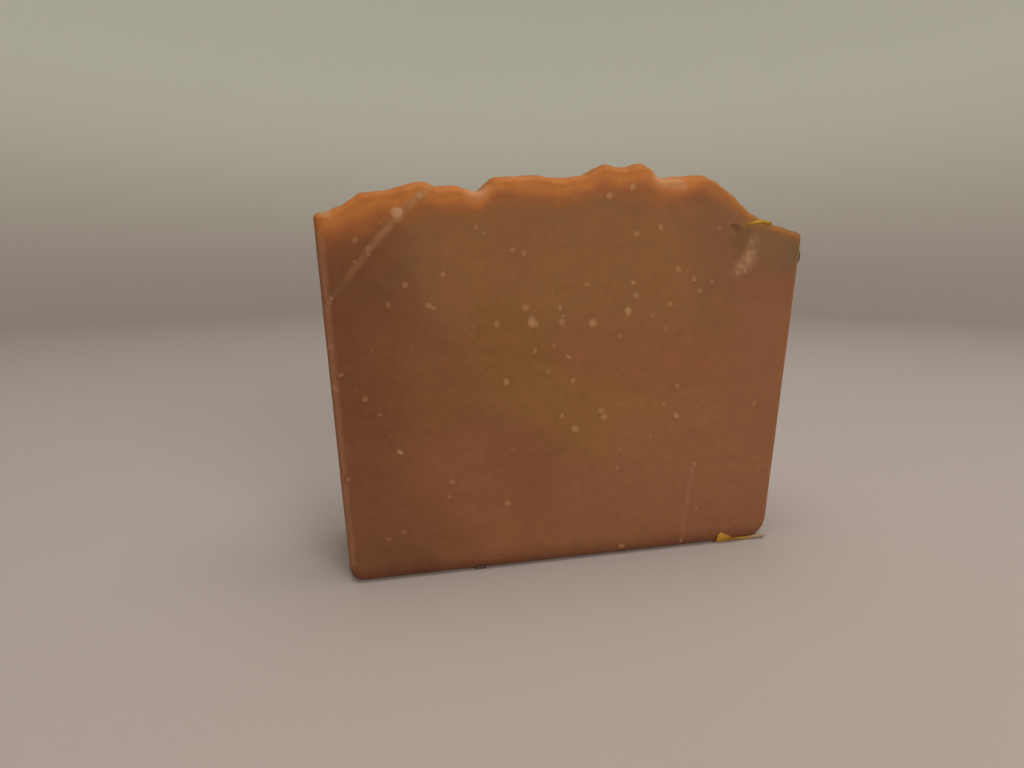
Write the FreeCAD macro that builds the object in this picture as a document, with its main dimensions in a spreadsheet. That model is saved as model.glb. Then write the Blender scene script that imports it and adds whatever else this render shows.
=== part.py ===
import FreeCAD, Part
import math
import os

import Sketcher

# A hand-made bar of soap, cut from a loaf and standing on its long edge.
# Millimetres. The origin is under the middle of the bar, on the surface it stands on.
# +X runs along the width to the viewer's right, +Y through the thickness to the back, +Z up.

Vector = FreeCAD.Vector

# Driving sizes: name, value, what it is
SIZES = [
    ("base_width", 84.5, "width of the bar at its foot"),
    ("bar_thickness", 24.0, "thickness of the slice, cut face to cut face"),
    ("side_draft", 1.96, "lean of the moulded sides, degrees"),
    ("shoulder_height", 62.0, "height of the crust where it is lowest, at the right end"),
    ("crest_rise", 11.8, "rise of the highest peak above the shoulder"),
    ("left_foot_radius", 2.6, "round of the moulded corner at the lower left"),
    ("right_foot_radius", 4.7, "round of the moulded corner at the lower right"),
    ("cut_edge_radius", 1.8, "soft edge between a cut face and the moulded faces"),
    ("crust_edge_radius", 2.8, "soft edge between a cut face and the crust"),
    ("crust_end_radius", 1.0, "soft edge between a moulded side and the crust"),
    ("swirl_height", 1.0, "height of a full swirl left in the crust"),
    ("ridge_radius_top", 1.1, "radius of the smeared ridge where it starts"),
    ("ridge_radius_low", 0.9, "radius of the smeared ridge where it ends"),
    ("ridge_stand", 0.24, "how far the ridge stands out of the cut face"),
    ("ridge_top_inset", 18.0, "from the left side to the top of the ridge"),
    ("ridge_top_drop", 2.4, "from the crust down to the top of the ridge"),
    ("ridge_low_inset", 2.1, "from the left side to the foot of the ridge"),
    ("ridge_fall", 16.0, "height between the two ends of the ridge"),
    ("crumb_radius", 0.95, "radius of the crumb dragged along the ridge"),
    ("crumb_stand", 0.5, "how far the crumb stands out of the cut face"),
    ("crack_length", 4.0, "length of the crack under the upper petal"),
    ("crack_gap", 0.7, "opening of the crack"),
    ("crack_depth", 1.6, "depth of the crack into the cut face"),
    ("crack_tilt", 11.0, "slope of the crack, degrees"),
    ("petal_thickness", 0.35, "thickness of a dried petal"),
    ("upper_petal_length", 8.6, "length of the petal in the crust"),
    ("upper_petal_width", 4.2, "width of the petal in the crust"),
    ("upper_petal_bow", 18.0, "radius that the petal in the crust is bowed to"),
    ("upper_petal_tilt", 11.0, "slope of the petal in the crust, degrees"),
    ("upper_petal_inset", 10.8, "from the right side to the middle of that petal"),
    ("upper_petal_sink", 1.65, "from the crust's crest down to the middle of that petal"),
    ("upper_petal_stand", 0.2, "how far that petal stands out of the cut face"),
    ("lower_petal_length", 11.9, "length of the petal at the foot"),
    ("lower_petal_height", 2.4, "height of the petal at the foot at its broad end"),
    ("lower_petal_overhang", 0.2, "how far that petal's tip passes the foot's end"),
    ("leaf_height", 3.2, "height of the leaf fleck in the right side"),
    ("leaf_width", 2.0, "width of the leaf fleck"),
    ("leaf_thickness", 0.9, "thickness of the leaf fleck"),
    ("leaf_drop", 4.0, "from the right shoulder down to the leaf fleck"),
    ("stalk_length", 1.9, "length of the stalk fleck in the lower front edge"),
    ("stalk_thickness", 0.8, "thickness of the stalk fleck"),
    ("stalk_inset", 22.8, "from the foot's left end to the stalk fleck"),
]

# The crest of the crust along the front, from the left side to the right side:
# per cent of the half width, per cent of the crest's rise
FRONT_CREST = [
    (-100, 14), (-93, 30), (-87, 42), (-79, 55), (-71, 56), (-60, 73), (-56, 56), (-50, 68),
    (-42, 55), (-39, 57), (-36, 79), (-27, 77), (-18, 83), (-11, 75), (-2, 80), (4, 86),
    (9, 103), (16, 91), (22, 101), (28, 103), (31, 83), (35, 80), (50, 91), (56, 83),
    (68, 57), (71, 42), (78, 28), (86, 17), (101, 0),
]

# The crest along the back, which is calmer
BACK_CREST = [
    (-100, 18), (-88, 37), (-74, 48), (-66, 56), (-52, 55), (-44, 46), (-32, 60), (-20, 72),
    (-8, 67), (4, 79), (14, 88), (24, 83), (36, 70), (46, 77), (58, 67), (72, 46),
    (86, 25), (101, 8),
]

# Swirls left in the crust by the spoon: per cent of the half width, per cent of the half
# thickness, share of the full swirl height, half length, half breadth, turn in degrees
SWIRLS = [
    (-82, 45, 0.6, 6.0, 3.2, 12),
    (-62, 10, 0.9, 8.0, 3.2, 38),
    (-45, 30, -0.6, 7.0, 3.0, 55),
    (-28, 20, 1.0, 9.0, 3.2, 20),
    (-12, -10, -0.7, 7.0, 3.0, 60),
    (22, 20, 0.7, 8.0, 3.4, -28),
    (34, 45, -0.9, 7.0, 3.2, 50),
    (62, 35, 0.9, 8.0, 3.4, -18),
]

# Outline of the petal at the foot, seen from the front, from its broad end to its tip:
# share of its length, share of its height; and where its straight foot starts and ends
LOWER_PETAL_TOP = [
    (0.0, 0.62), (0.03, 0.93), (0.09, 1.0), (0.2, 0.76), (0.36, 0.44), (0.6, 0.34),
    (0.86, 0.4), (0.98, 0.3),
]
LOWER_PETAL_FOOT = (0.02, 0.95)

# Where the crumb lies along the ridge, as a share of its run from the top
CRUMB_PLACE = 0.31

# How the crust's surface is laid out: stations at a soft edge as shares of its radius, the
# closest that two stations may lie, the step through the thickness, and the reach past the bar
EDGE_STATIONS = [-0.4, 0.0, 0.4, 1.0]
CLOSEST_STATION = 0.5
ROW_STEP = 4.6
SURFACE_MARGIN = 3.0

# The crust's soft edge leaves off this share of a full quarter round where it meets the face
ROUND_LEFT_OFF = 0.22

# The swirls fade in over this distance behind the front edge
FRONT_FADE = 5.0


def fill_sheet(sheet):
    """Write each driving size, its alias and its note on a row of its own"""
    for row, (name, value, note) in enumerate(SIZES, start=1):
        sheet.set("A%d" % row, name)
        sheet.set("B%d" % row, str(value))
        sheet.setAlias("B%d" % row, name)
        sheet.set("C%d" % row, note)


def origin_plane(body, role):
    """The origin plane of a body, found by its role"""
    for feature in body.Origin.OriginFeatures:
        if feature.Role == role:
            return feature
    raise ValueError("no origin plane " + role)


def edges_where(shape, test):
    """Names of the edges that pass a test"""
    return ["Edge%d" % (i + 1) for i, edge in enumerate(shape.Edges) if test(edge)]


def round_edges(body, name, base, radius, test):
    """A fillet on the edges of the last feature that pass a test"""
    fillet = body.newObject("PartDesign::Fillet", name)
    fillet.Base = (base, edges_where(base.Shape, test))
    fillet.setExpression("Radius", "Sizes." + radius)
    fillet.Document.recompute()
    return fillet


def between(points, place):
    """Smooth height between listed points, level at each peak and dip"""
    slopes = [(b[1] - a[1]) / (b[0] - a[0]) for a, b in zip(points, points[1:])]
    if place <= points[0][0]:
        return points[0][1]
    if place >= points[-1][0]:
        return points[-1][1]
    i = max(k for k, point in enumerate(points[:-1]) if point[0] <= place)

    def tangent(k):
        if k == 0 or k == len(points) - 1 or slopes[k - 1] * slopes[k] <= 0:
            return 0.0
        return 2 * slopes[k - 1] * slopes[k] / (slopes[k - 1] + slopes[k])

    run = points[i + 1][0] - points[i][0]
    u = (place - points[i][0]) / run
    rise = points[i + 1][1] - points[i][1]
    bend = tangent(i) * (u - 2 * u**2 + u**3) + tangent(i + 1) * (u**3 - u**2)
    return points[i][1] + rise * (3 * u**2 - 2 * u**3) + run * bend


def edge_drop(inward, radius):
    """How far a rounded edge has dropped, at a distance inward from it"""
    left = min(1 - ROUND_LEFT_OFF, 1 - ROUND_LEFT_OFF - inward / radius)
    if left <= 0:
        return 0.0
    drop = radius * (1 - math.sqrt(1 - left**2))
    if inward < 0:
        drop -= inward * left / math.sqrt(1 - left**2)
    return drop


def smooth_step(value):
    """From 0 to 1 with level ends"""
    value = max(0.0, min(1.0, value))
    return value * value * (3 - 2 * value)


def swirl_at(across, depth, half_width, half_thickness):
    """Height of all swirls at one place of the crust, as a share of the full swirl"""
    total = 0.0
    for side, back, share, length, breadth, turn in SWIRLS:
        dx = across - side / 100 * half_width
        dy = depth - back / 100 * half_thickness
        cos_turn = math.cos(math.radians(turn))
        sin_turn = math.sin(math.radians(turn))
        along = (dx * cos_turn + dy * sin_turn) / length
        aside = (dy * cos_turn - dx * sin_turn) / breadth
        total += share * math.exp(-along**2 - aside**2)
    return total


class Crust:
    """The wavy top of the loaf, as a height over the bar's plan"""

    def __init__(self, size):
        self.size = size
        self.lean = math.tan(math.radians(size("side_draft")))
        self.half_width = size("base_width") / 2 + size("shoulder_height") * self.lean
        self.half_thickness = size("bar_thickness") / 2

    def crest(self, across, depth):
        """Height of the crust before its edges are rounded"""
        place = 100 * across / self.half_width
        back = smooth_step((depth + self.half_thickness) / (2 * self.half_thickness))
        percent = (1 - back) * between(FRONT_CREST, place) + back * between(BACK_CREST, place)
        behind_front = depth + self.half_thickness - self.size("crust_edge_radius")
        swirl = swirl_at(across, depth, self.half_width, self.half_thickness)
        swirl *= self.size("swirl_height") * smooth_step(behind_front / FRONT_FADE)
        return self.size("shoulder_height") + percent / 100 * self.size("crest_rise") + swirl

    def height(self, across, depth):
        """Height of the crust with its soft edges"""
        face = edge_drop(self.half_thickness - abs(depth), self.size("crust_edge_radius"))
        end = edge_drop(self.half_width - abs(across), self.size("crust_end_radius"))
        return self.crest(across, depth) - face - end

    def columns(self):
        """Stations across the width, one at each listed place of the front crest"""
        near = [-self.half_width + share * self.size("crust_end_radius") for share in EDGE_STATIONS]
        inner = self.half_width - self.size("crust_end_radius")
        places = [percent / 100 * self.half_width for percent, rise in FRONT_CREST]
        middle = [place for place in places if abs(place) < inner - CLOSEST_STATION]
        return near + middle + [-place for place in reversed(near)]

    def rows(self):
        """Stations through the thickness, closer together at the soft edges"""
        radius = self.size("crust_edge_radius")
        near = [-self.half_thickness + share * radius for share in EDGE_STATIONS]
        inner = self.half_thickness - radius
        count = max(4, round(2 * inner / ROW_STEP))
        middle = [-inner + 2 * inner * i / count for i in range(1, count)]
        return near + middle + [-place for place in reversed(near)]

    def solid(self):
        """Everything below the crust, wider than the bar"""
        columns = self.columns()
        rows = self.rows()
        poles = [[Vector(x, y, self.height(x, y)) for y in rows] for x in columns]
        surface = Part.BSplineSurface()
        degree = 3

        def knots(stations):
            spans = len(stations) - degree
            return [degree + 1] + [1] * (spans - 1) + [degree + 1], list(range(spans + 1))

        column_counts, column_knots = knots(columns)
        row_counts, row_knots = knots(rows)
        surface.buildFromPolesMultsKnots(
            poles, column_counts, row_counts, column_knots, row_knots, False, False, degree, degree)
        depth = self.size("shoulder_height") + self.size("crest_rise") + SURFACE_MARGIN
        return surface.toShape().extrude(Vector(0, 0, -2 * depth))


def make_block(doc):
    """The slice before its crust is shaped: moulded sides with draft, soft edges all round"""
    body = doc.addObject("PartDesign::Body", "Block")
    sketch = body.newObject("Sketcher::SketchObject", "BlockOutline")
    sketch.AttachmentSupport = [(origin_plane(body, "XZ_Plane"), "")]
    sketch.MapMode = "FlatFace"
    corners = [Vector(-40, 0, 0), Vector(40, 0, 0), Vector(45, 90, 0), Vector(-45, 90, 0)]
    for start, end in zip(corners, corners[1:] + corners[:1]):
        sketch.addGeometry(Part.LineSegment(start, end), False)
    for line in range(4):
        sketch.addConstraint(Sketcher.Constraint("Coincident", line, 2, (line + 1) % 4, 1))
    sketch.addConstraint(Sketcher.Constraint("Horizontal", 0))
    sketch.addConstraint(Sketcher.Constraint("Symmetric", 0, 1, 0, 2, -1, 1))
    sketch.addConstraint(Sketcher.Constraint("Symmetric", 2, 1, 2, 2, -2))
    foot = sketch.addConstraint(Sketcher.Constraint("DistanceX", 0, 1, 0, 2, 80))
    sketch.renameConstraint(foot, "foot")
    sketch.setExpression("Constraints.foot", "Sizes.base_width")
    tall = sketch.addConstraint(Sketcher.Constraint("DistanceY", 0, 2, 2, 1, 90))
    sketch.renameConstraint(tall, "tall")
    sketch.setExpression("Constraints.tall", "Sizes.shoulder_height + 2 * Sizes.crest_rise")
    lean = sketch.addConstraint(Sketcher.Constraint("DistanceX", 0, 2, 2, 1, 5))
    sketch.renameConstraint(lean, "lean")
    leaning = "(Sizes.shoulder_height + 2 * Sizes.crest_rise) * tan(Sizes.side_draft * 1 deg)"
    sketch.setExpression("Constraints.lean", leaning)
    doc.recompute()

    pad = body.newObject("PartDesign::Pad", "BlockPad")
    pad.Profile = sketch
    pad.Midplane = True
    pad.setExpression("Length", "Sizes.bar_thickness")
    doc.recompute()

    def foot_corner(side):
        def test(edge):
            box = edge.BoundBox
            return box.ZMax < 1e-6 and box.XLength < 1e-6 and box.XMin * side > 0
        return test

    left = round_edges(body, "LeftFoot", pad, "left_foot_radius", foot_corner(-1))
    right = round_edges(body, "RightFoot", left, "right_foot_radius", foot_corner(1))
    top = right.Shape.BoundBox.ZMax

    def on_cut_face(edge):
        box = edge.BoundBox
        return box.YLength < 1e-6 and box.ZMin < top - 1e-6

    body.Tip = round_edges(body, "CutEdges", right, "cut_edge_radius", on_cut_face)
    doc.recompute()
    return body


def shape_feature(doc, name, shape, place=Vector()):
    """A feature that holds a worked-out shape, placed after it is set"""
    feature = doc.addObject("Part::Feature", name)
    feature.Shape = shape
    feature.Placement = FreeCAD.Placement(place, FreeCAD.Rotation())
    return feature


def boolean(doc, kind, name, base, tool):
    """A Part boolean of two objects"""
    result = doc.addObject("Part::" + kind, name)
    result.Base = base
    result.Tool = tool
    return result


def make_ridge(doc, size, crust):
    """The smear dragged across the upper left of the front face, with its crumb"""
    left_side = -crust.half_width
    top_x = left_side + size("ridge_top_inset")
    face_y = -crust.half_thickness
    top_z = crust.crest(top_x, face_y) - size("ridge_top_drop")
    low_z = top_z - size("ridge_fall")
    low_x = -size("base_width") / 2 - low_z * crust.lean + size("ridge_low_inset")
    radii = (size("ridge_radius_top"), size("ridge_radius_low"))
    top = Vector(top_x, face_y + radii[0] - size("ridge_stand"), top_z)
    low = Vector(low_x, face_y + radii[1] - size("ridge_stand"), low_z)

    cone = doc.addObject("Part::Cone", "RidgeRun")
    cone.setExpression("Radius1", "Sizes.ridge_radius_top")
    cone.setExpression("Radius2", "Sizes.ridge_radius_low")
    cone.Height = (low - top).Length
    cone.Placement = FreeCAD.Placement(top, FreeCAD.Rotation(Vector(0, 0, 1), low - top))
    pieces = [cone]
    for name, centre, radius in (("RidgeTop", top, "top"), ("RidgeFoot", low, "low")):
        ball = doc.addObject("Part::Sphere", name)
        ball.setExpression("Radius", "Sizes.ridge_radius_" + radius)
        ball.Placement.Base = centre
        pieces.append(ball)
    crumb = doc.addObject("Part::Sphere", "Crumb")
    crumb.setExpression("Radius", "Sizes.crumb_radius")
    on_run = top + (low - top) * CRUMB_PLACE
    crumb.Placement.Base = Vector(on_run.x, face_y + size("crumb_radius") - size("crumb_stand"), on_run.z)
    pieces.append(crumb)
    ridge = doc.addObject("Part::MultiFuse", "Ridge")
    ridge.Shapes = pieces
    return ridge


def upper_petal_centre(size, crust):
    """Middle of the petal in the crust"""
    across = crust.half_width - size("upper_petal_inset")
    depth = size("upper_petal_width") / 2 - size("upper_petal_stand") - crust.half_thickness
    crest = crust.crest(across, size("crust_edge_radius") - crust.half_thickness)
    return Vector(across, depth, crest - size("upper_petal_sink"))


def make_upper_petal(doc, size, crust):
    """A bowed petal lying in the crust, its near edge just out of the cut face"""
    centre = upper_petal_centre(size, crust)
    reach = size("upper_petal_width") / 2
    bow = size("upper_petal_bow")
    tilt = math.radians(size("upper_petal_tilt"))
    axis = centre + Vector(math.sin(tilt) * bow, -2 * reach, -math.cos(tilt) * bow)
    turn = FreeCAD.Rotation(Vector(0, 0, 1), Vector(0, 1, 0))
    walls = []
    for name, radius in (
            ("PetalOutside", "Sizes.upper_petal_bow + Sizes.petal_thickness / 2"),
            ("PetalInside", "Sizes.upper_petal_bow - Sizes.petal_thickness / 2")):
        wall = doc.addObject("Part::Cylinder", name)
        wall.setExpression("Radius", radius)
        wall.setExpression("Height", "2 * Sizes.upper_petal_width")
        wall.Placement = FreeCAD.Placement(axis, turn)
        walls.append(wall)
    shell = boolean(doc, "Cut", "PetalShell", walls[0], walls[1])

    outline = doc.addObject("Part::Ellipse", "UpperPetalOutline")
    outline.setExpression("MajorRadius", "Sizes.upper_petal_length / 2")
    outline.setExpression("MinorRadius", "Sizes.upper_petal_width / 2")
    outline.Placement.Base = centre - Vector(0, 0, bow / 2)
    prism = doc.addObject("Part::Extrusion", "UpperPetalPrism")
    prism.Base = outline
    prism.DirMode = "Custom"
    prism.Dir = Vector(0, 0, 1)
    prism.LengthFwd = bow
    prism.Solid = True
    return boolean(doc, "Common", "upper_petal", shell, prism)


def make_lower_petal(doc, size, crust):
    """A petal folded against the lower front edge, its tip past the rounded corner"""
    band = doc.addObject("PartDesign::Body", "PetalBand")
    sketch = band.newObject("Sketcher::SketchObject", "BandSection")
    sketch.AttachmentSupport = [(origin_plane(band, "YZ_Plane"), "")]
    sketch.MapMode = "FlatFace"
    face_y = -crust.half_thickness
    edge = size("cut_edge_radius")
    thick = size("petal_thickness")
    tall = edge + 2 * size("lower_petal_height")
    centre = Vector(face_y + edge, edge, 0)
    quarter = (math.pi, 1.5 * math.pi)
    for radius in (edge, edge + thick):
        circle = Part.Circle(centre, Vector(0, 0, 1), radius)
        sketch.addGeometry(Part.ArcOfCircle(circle, *quarter), False)
    inner_foot = Vector(face_y + edge, 0, 0)
    outer_foot = Vector(face_y + edge, -thick, 0)
    inner_start = Vector(face_y, edge, 0)
    outer_start = Vector(face_y - thick, edge, 0)
    inner_top = Vector(face_y, tall, 0)
    outer_top = Vector(face_y - thick, tall, 0)
    lines = [
        (inner_foot, outer_foot),
        (outer_start, outer_top),
        (outer_top, inner_top),
        (inner_top, inner_start),
    ]
    for start, end in lines:
        sketch.addGeometry(Part.LineSegment(start, end), False)
    joins = [(0, 2, 2, 1), (2, 2, 1, 2), (1, 1, 3, 1), (3, 2, 4, 1), (4, 2, 5, 1), (5, 2, 0, 1)]
    for first, first_end, second, second_end in joins:
        sketch.addConstraint(Sketcher.Constraint("Coincident", first, first_end, second, second_end))
    sketch.addConstraint(Sketcher.Constraint("Coincident", 0, 3, 1, 3))
    for line in (2, 3, 5):
        sketch.addConstraint(Sketcher.Constraint("Vertical", line))
    sketch.addConstraint(Sketcher.Constraint("Horizontal", 4))
    sketch.addConstraint(Sketcher.Constraint("Horizontal", 0, 3, 0, 1))
    sketch.addConstraint(Sketcher.Constraint("Horizontal", 0, 3, 1, 1))
    sketch.addConstraint(Sketcher.Constraint("Vertical", 0, 3, 0, 2))
    driven = [
        ("bend", Sketcher.Constraint("Radius", 0, edge), "Sizes.cut_edge_radius"),
        ("leaf", Sketcher.Constraint("DistanceY", 2, 2, 2, 1, thick), "Sizes.petal_thickness"),
        ("level", Sketcher.Constraint("DistanceY", -1, 1, 0, 3, edge), "Sizes.cut_edge_radius"),
        ("face", Sketcher.Constraint("DistanceX", 5, 2, -1, 1, -face_y), "Sizes.bar_thickness / 2"),
        ("tall", Sketcher.Constraint("DistanceY", -1, 1, 5, 1, tall),
         "Sizes.cut_edge_radius + 2 * Sizes.lower_petal_height"),
    ]
    for name, constraint, formula in driven:
        sketch.renameConstraint(sketch.addConstraint(constraint), name)
        sketch.setExpression("Constraints." + name, formula)
    doc.recompute()
    pad = band.newObject("PartDesign::Pad", "BandPad")
    pad.Profile = sketch
    pad.setExpression("Length", "Sizes.base_width / 2 + Sizes.lower_petal_overhang")
    band.Tip = pad

    tip_x = size("base_width") / 2 + size("lower_petal_overhang")
    broad_x = tip_x - size("lower_petal_length")
    front = Vector(0, face_y - 2 * thick, 0)
    points = [
        front + Vector(broad_x + along * size("lower_petal_length"), 0, up * size("lower_petal_height"))
        for along, up in LOWER_PETAL_TOP
    ]
    curve = Part.BSplineCurve()
    curve.interpolate(points)
    first, last = [
        front + Vector(broad_x + share * size("lower_petal_length"), 0, 0) for share in LOWER_PETAL_FOOT
    ]
    wire = Part.Wire([
        Part.makeLine(first, points[0]),
        curve.toShape(),
        Part.makeLine(points[-1], last),
        Part.makeLine(last, first),
    ])
    prism = shape_feature(doc, "LowerPetalPrism", Part.Face(wire).extrude(Vector(0, 2 * thick + 2 * edge, 0)))
    return boolean(doc, "Common", "lower_petal", band, prism)


def make_leaf(doc, size, crust):
    """The dark leaf fleck in the right side, beside the front edge: pointed at both ends"""
    level = size("shoulder_height") - size("leaf_drop")
    side = size("base_width") / 2 + level * crust.lean
    back = -crust.half_thickness + size("cut_edge_radius") + size("leaf_width") / 6
    bend = size("leaf_width") / 4 + size("leaf_height") ** 2 / (4 * size("leaf_width"))
    across = side - size("leaf_thickness") / 2
    turn = FreeCAD.Rotation(Vector(0, 0, 1), Vector(1, 0, 0))
    halves = []
    for name, direction in (("LeafFront", 1), ("LeafBack", -1)):
        half = doc.addObject("Part::Cylinder", name)
        half.setExpression("Radius", "Sizes.leaf_width / 4 + Sizes.leaf_height ^ 2 / (4 * Sizes.leaf_width)")
        half.setExpression("Height", "Sizes.leaf_thickness")
        offset = direction * (bend - size("leaf_width") / 2)
        half.Placement = FreeCAD.Placement(Vector(across, back + offset, level), turn)
        halves.append(half)
    return boolean(doc, "Common", "leaf_fleck", halves[0], halves[1])


def make_stalk(doc, size, crust):
    """The dark stalk fleck, lying along the lower front edge"""
    out = size("cut_edge_radius") * (1 - math.sqrt(0.5))
    start = Vector(-size("base_width") / 2 + size("stalk_inset"), -crust.half_thickness + out, out)
    stalk = doc.addObject("Part::Cylinder", "stalk_fleck")
    stalk.setExpression("Radius", "Sizes.stalk_thickness / 2")
    stalk.setExpression("Height", "Sizes.stalk_length")
    stalk.Placement = FreeCAD.Placement(start, FreeCAD.Rotation(Vector(0, 0, 1), Vector(1, 0, 0)))
    return stalk


def make_crack(doc, size, crust):
    """The dark crack that opens under the buried end of the upper petal"""
    crack = doc.addObject("Part::Box", "Crack")
    crack.setExpression("Length", "Sizes.crack_length")
    crack.setExpression("Width", "2 * Sizes.crack_depth")
    crack.setExpression("Height", "Sizes.crack_gap")
    half_petal = size("upper_petal_length") / 2
    fall = half_petal * math.tan(math.radians(size("upper_petal_tilt")))
    petal_end = upper_petal_centre(size, crust) - Vector(half_petal, 0, fall)
    across = petal_end.x - size("crack_length") / 4
    level = petal_end.z - size("petal_thickness")
    corner = Vector(across, -crust.half_thickness - size("crack_depth"), level)
    turn = FreeCAD.Rotation(Vector(0, 1, 0), size("crack_tilt"))
    crack.Placement = FreeCAD.Placement(corner, turn)
    return crack


def check_document(doc, nodes):
    """Stop if an object failed, or a node is not one valid solid"""
    for item in doc.Objects:
        if "Invalid" in item.State or "Error" in item.State:
            raise RuntimeError("failed: " + item.Name + " " + str(item.State))
    for node in nodes:
        if node.Shape.isNull() or not node.Shape.isValid():
            raise RuntimeError("not valid: " + node.Label)
        if len(node.Shape.Solids) != 1:
            raise RuntimeError("%s has %d solids" % (node.Label, len(node.Shape.Solids)))


def main():
    doc = FreeCAD.newDocument("SoapBar")
    sheet = doc.addObject("Spreadsheet::Sheet", "Sizes")
    fill_sheet(sheet)
    doc.recompute()

    def size(name):
        return float(sheet.get(name))

    crust = Crust(size)
    block = make_block(doc)
    under_crust = shape_feature(doc, "UnderCrust", crust.solid())
    slice_shape = boolean(doc, "Common", "Slice", block, under_crust)
    smeared = boolean(doc, "Fuse", "SmearedSlice", slice_shape, make_ridge(doc, size, crust))
    cracked = boolean(doc, "Cut", "CrackedSlice", smeared, make_crack(doc, size, crust))

    plants = [
        make_upper_petal(doc, size, crust),
        make_lower_petal(doc, size, crust),
        make_leaf(doc, size, crust),
        make_stalk(doc, size, crust),
    ]
    seated = cracked
    for plant in plants:
        seated = boolean(doc, "Cut", "Seat_" + plant.Name, seated, plant)
    seated.Label = "soap_bar"
    doc.recompute()

    nodes = [seated] + plants
    check_document(doc, nodes)
    os.makedirs("parts", exist_ok=True)
    for node in nodes:
        node.Shape.exportStep("parts/" + node.Label + ".step")
        box = node.Shape.BoundBox
        print("%-12s %9.3f mm3  x %.2f %.2f  y %.2f %.2f  z %.2f %.2f" % (
            node.Label, node.Shape.Volume, box.XMin, box.XMax, box.YMin, box.YMax, box.ZMin, box.ZMax))


main()
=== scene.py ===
"""A bar of hand-made soap: one cut slice of a loaf with a wavy crust, and dried petals pressed in."""

import math

import bmesh
import bpy
import numpy as np
from mathutils import Matrix, Vector, noise
from mathutils.bvhtree import BVHTree


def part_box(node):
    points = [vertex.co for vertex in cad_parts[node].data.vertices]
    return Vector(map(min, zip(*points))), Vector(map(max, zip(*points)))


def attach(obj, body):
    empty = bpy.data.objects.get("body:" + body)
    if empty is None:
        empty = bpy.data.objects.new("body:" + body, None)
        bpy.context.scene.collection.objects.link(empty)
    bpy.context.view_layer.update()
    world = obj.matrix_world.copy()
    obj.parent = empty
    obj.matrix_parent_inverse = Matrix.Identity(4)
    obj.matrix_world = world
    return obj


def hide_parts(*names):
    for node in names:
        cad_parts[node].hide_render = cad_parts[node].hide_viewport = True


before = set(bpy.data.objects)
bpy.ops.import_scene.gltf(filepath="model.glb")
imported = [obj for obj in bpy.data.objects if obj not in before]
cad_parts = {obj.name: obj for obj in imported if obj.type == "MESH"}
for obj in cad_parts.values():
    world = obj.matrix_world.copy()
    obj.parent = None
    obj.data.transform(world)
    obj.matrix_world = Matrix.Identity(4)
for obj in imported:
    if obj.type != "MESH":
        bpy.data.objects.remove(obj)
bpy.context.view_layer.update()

bl_info = {
    "name": "Hand-made soap bar",
    "version": (1, 0, 0),
    "blender": (4, 5, 0),
    "location": "View3D > Sidebar > Soap",
    "description": "Dresses the solids of a soap bar with its crust, specks, petals and finishes",
    "category": "Add Mesh",
}

BODY = "root"
MM = 0.001

# The slice in millimetres: its back face, its sides' foot, height and lean, and its crust's edge.
BACK_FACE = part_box("soap_bar")[1].y / MM
FRONT_FACE = -BACK_FACE
SHOULDER = 62.0
FOOT_HALF = 42.25
SIDE_LEAN = math.tan(math.radians(1.96))
TOP_HALF = FOOT_HALF + SHOULDER * SIDE_LEAN
DOWN = Vector((0, 0, -1))


def shade(red, green, blue):
    """A display colour, 0 to 255 a channel, as a linear colour."""
    def channel(value):
        part = value / 255
        return part / 12.92 if part <= 0.04045 else ((part + 0.055) / 1.055) ** 2.4
    return (channel(red), channel(green), channel(blue), 1.0)


def smooth(value, low, high):
    """0 below low, 1 above high, and an even S between them."""
    part = np.clip((value - low) / (high - low), 0, 1)
    return part * part * (3 - 2 * part)


# Washes of colour in the cut face: two ends of a stroke (x, z, x, z), its reach and its soft rim
# in millimetres, its colour, and how strongly it covers.
WASHES = (
    (-34, 58, -29, 50, 4.0, 7.0, (107, 76, 45), 0.75),
    (-40, 52, -38, 16, 4.0, 9.0, (107, 65, 41), 0.85),
    (-41, 62, -36, 60, 2.5, 5.0, (117, 72, 42), 0.8),
    (-28, 44, -24, 24, 4.0, 10.0, (120, 76, 45), 0.6),
    (-24, 62, -21, 52, 3.0, 8.0, (129, 86, 52), 0.8),
    (-14, 58, 16, 56, 5.0, 11.0, (132, 89, 50), 0.8),
    (-15, 44, -4, 33, 3.5, 7.0, (127, 85, 44), 0.85),
    (-4, 32, 12, 26, 3.5, 7.0, (131, 89, 48), 0.85),
    (12, 26, 35, 32, 2.5, 7.0, (134, 91, 54), 0.75),
    (2, 41, 27, 38, 3.0, 6.0, (132, 84, 50), 0.85),
    (-20, 17, 4, 11, 4.0, 9.0, (129, 82, 53), 0.8),
    (4, 12, 22, 11, 3.5, 8.0, (131, 85, 56), 0.8),
    (-34, 12, -22, 7, 2.5, 6.0, (114, 73, 48), 0.7),
    (-38, 6, -30, 2, 1.5, 4.0, (101, 63, 41), 0.8),
    (35, 50, 38, 14, 3.5, 7.0, (129, 84, 55), 0.8),
    (30, 6, 38, 8, 2.5, 6.0, (127, 83, 56), 0.7),
    (29.5, 60.5, 42, 57, 1.8, 4.5, (117, 82, 53), 0.75),
    (30.0, 60.8, 32.0, 60.2, 0.7, 1.8, (91, 68, 33), 0.8),
    (41.9, 59.6, 42.9, 57.2, 0.5, 1.6, (102, 84, 54), 0.6),
    (26, 62, 28, 48, 2.5, 6.0, (124, 82, 50), 0.7),
    (-28, 20, -10, 21, 3.5, 8.0, (124, 79, 50), 0.7),
    (14, 19, 32, 17, 4.0, 8.0, (133, 87, 57), 0.8),
    (-40, 24, -37, 8, 3.0, 7.0, (116, 74, 47), 0.65),
    (-22, 20, -16, 9, 3.0, 7.0, (132, 84, 54), 0.55),
)

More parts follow.
